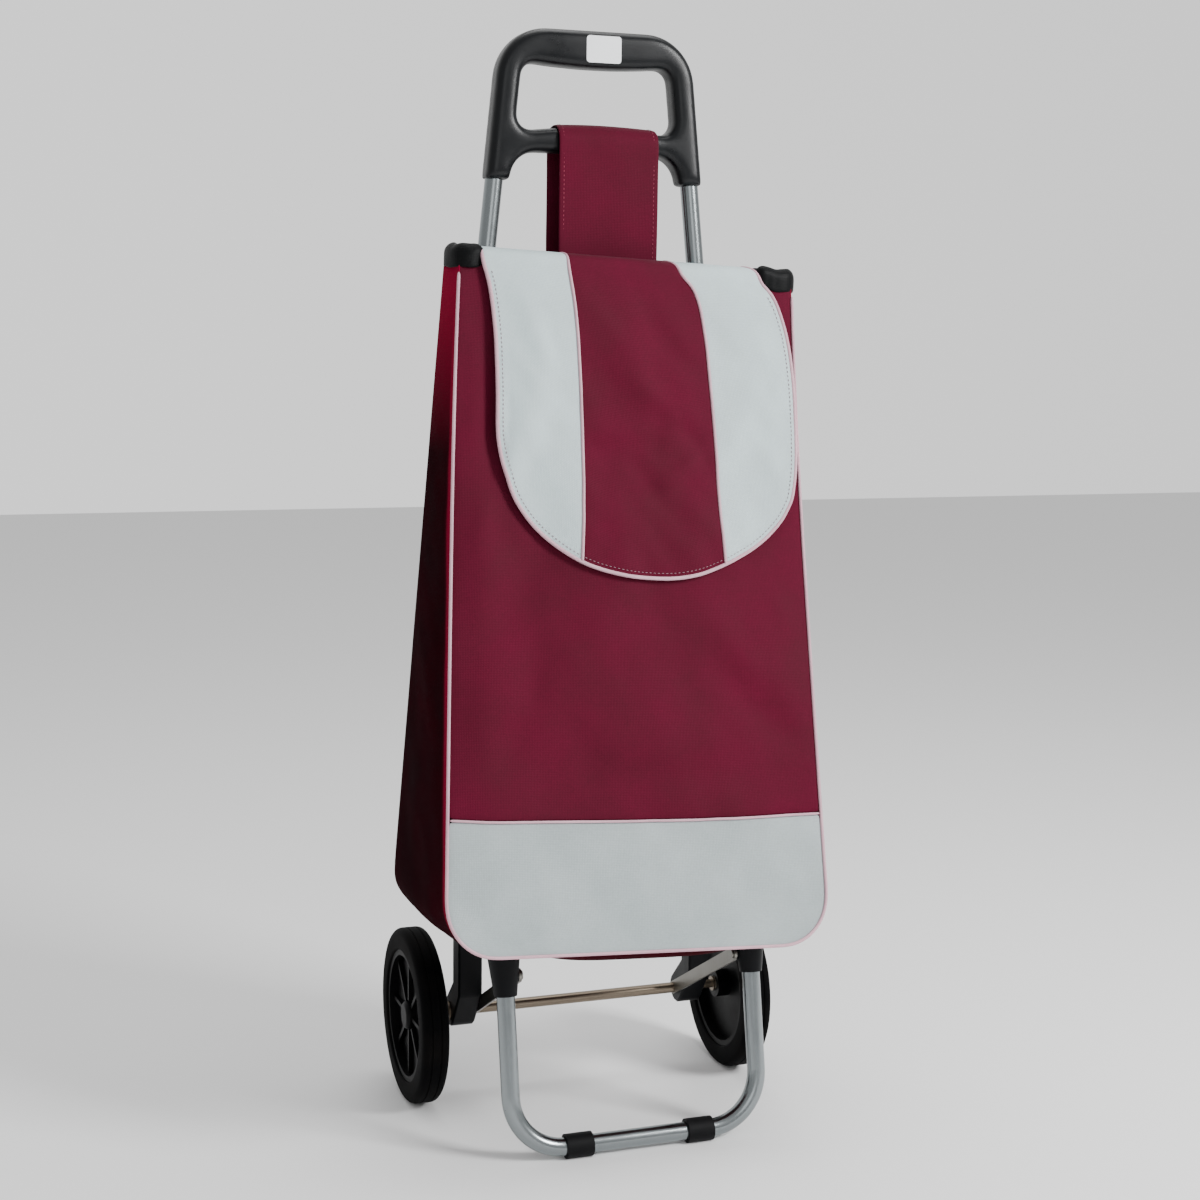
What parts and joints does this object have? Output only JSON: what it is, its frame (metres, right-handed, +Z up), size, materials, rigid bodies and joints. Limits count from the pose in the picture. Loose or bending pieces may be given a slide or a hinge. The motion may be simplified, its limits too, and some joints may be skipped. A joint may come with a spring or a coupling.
{
  "type": "shopping trolley",
  "caption": "Upright two-wheeled shopping trolley: a bent tube frame with a closed grip, a U-shaped front stand and a slanted cloth bag with a lifting flap, hung by a wide strap.",
  "frame": {"origin": "on the floor, under the middle of the whole trolley's bounding box", "axes": "+Z up, +X to the right as seen from the front, the bag's front faces -Y"},
  "size_m": [0.3569, 0.2865, 0.967],
  "materials": {
    "tyre_rubber": "matt moulded rubber",
    "wheel_plastic": "moulded, fine texture",
    "bush_plastic": "natural moulded",
    "axle_steel": "zinc plated",
    "stay_steel": "zinc plated strip",
    "moulded_plastic": "moulded, satin",
    "grip_plastic": "moulded, satin gloss",
    "tube_metal": "polished tube",
    "label_paper": "blank label",
    "sleeve_rubber": "matt rubber",
    "maroon_cloth": "coated woven polyester",
    "pale_cloth": "coated woven polyester",
    "black_cloth": "thin woven polyester",
    "pink_piping": "corded piping",
    "base_board": "pressed board"
  },
  "bodies": {
    "frame": {"axle": "axle_steel", "axle_spacer_tube": "axle_steel", "axle_washers": "axle_steel", "hub_clips": "axle_steel", "axle_end_nuts": "axle_steel", "left_wheel_bracket": "moulded_plastic", "right_wheel_bracket": "moulded_plastic", "bracket_screws": "axle_steel", "left_tube": "tube_metal", "right_tube": "tube_metal", "handle_front_shell": "grip_plastic", "handle_rear_shell": "grip_plastic", "handle_screws": "axle_steel", "handle_label": "label_paper", "front_stand": "tube_metal", "left_foot_sleeve": "sleeve_rubber", "right_foot_sleeve": "sleeve_rubber", "left_platform_rail": "tube_metal", "right_platform_rail": "tube_metal", "left_elbow": "moulded_plastic", "right_elbow": "moulded_plastic", "elbow_screws": "axle_steel", "left_stay": "stay_steel", "right_stay": "stay_steel", "stay_rivets": "axle_steel", "bag_front_panel": "maroon_cloth", "bag_back_panel": "maroon_cloth", "bag_left_gusset": "maroon_cloth", "bag_right_gusset": "maroon_cloth", "bag_bottom_panel": "maroon_cloth", "bag_front_band": "pale_cloth", "bag_base_board": "base_board", "bag_collar": "black_cloth", "front_piping": "pink_piping", "band_piping": "pink_piping", "hanging_strap": "maroon_cloth", "left_tube_loops": "black_cloth", "right_tube_loops": "black_cloth"},
    "flap": {"flap_centre_panel": "maroon_cloth", "flap_left_stripe": "pale_cloth", "flap_right_stripe": "pale_cloth", "flap_edge_piping": "pink_piping", "flap_seam_piping": "pink_piping"},
    "left_wheel": {"left_tyre": "tyre_rubber", "left_rim": "wheel_plastic", "left_bush": "bush_plastic", "left_hub_cap": "wheel_plastic"},
    "right_wheel": {"right_tyre": "tyre_rubber", "right_rim": "wheel_plastic", "right_bush": "bush_plastic", "right_hub_cap": "wheel_plastic"}
  },
  "joints": [
    {"name": "left_wheel_spin", "type": "hinge", "parent": "frame", "child": "left_wheel", "pos_m": [-0.1498, 0.063, 0.08], "axis": [1, 0, 0], "continuous": true},
    {"name": "right_wheel_spin", "type": "hinge", "parent": "frame", "child": "right_wheel", "pos_m": [0.1624, 0.063, 0.08], "axis": [1, 0, 0], "continuous": true},
    {"name": "flap_lift", "type": "hinge", "parent": "frame", "child": "flap", "pos_m": [0.0267, 0.02, 0.76932], "axis": [-0.9987, 0, 0.0515], "range_deg": [0, 85]}
  ]
}
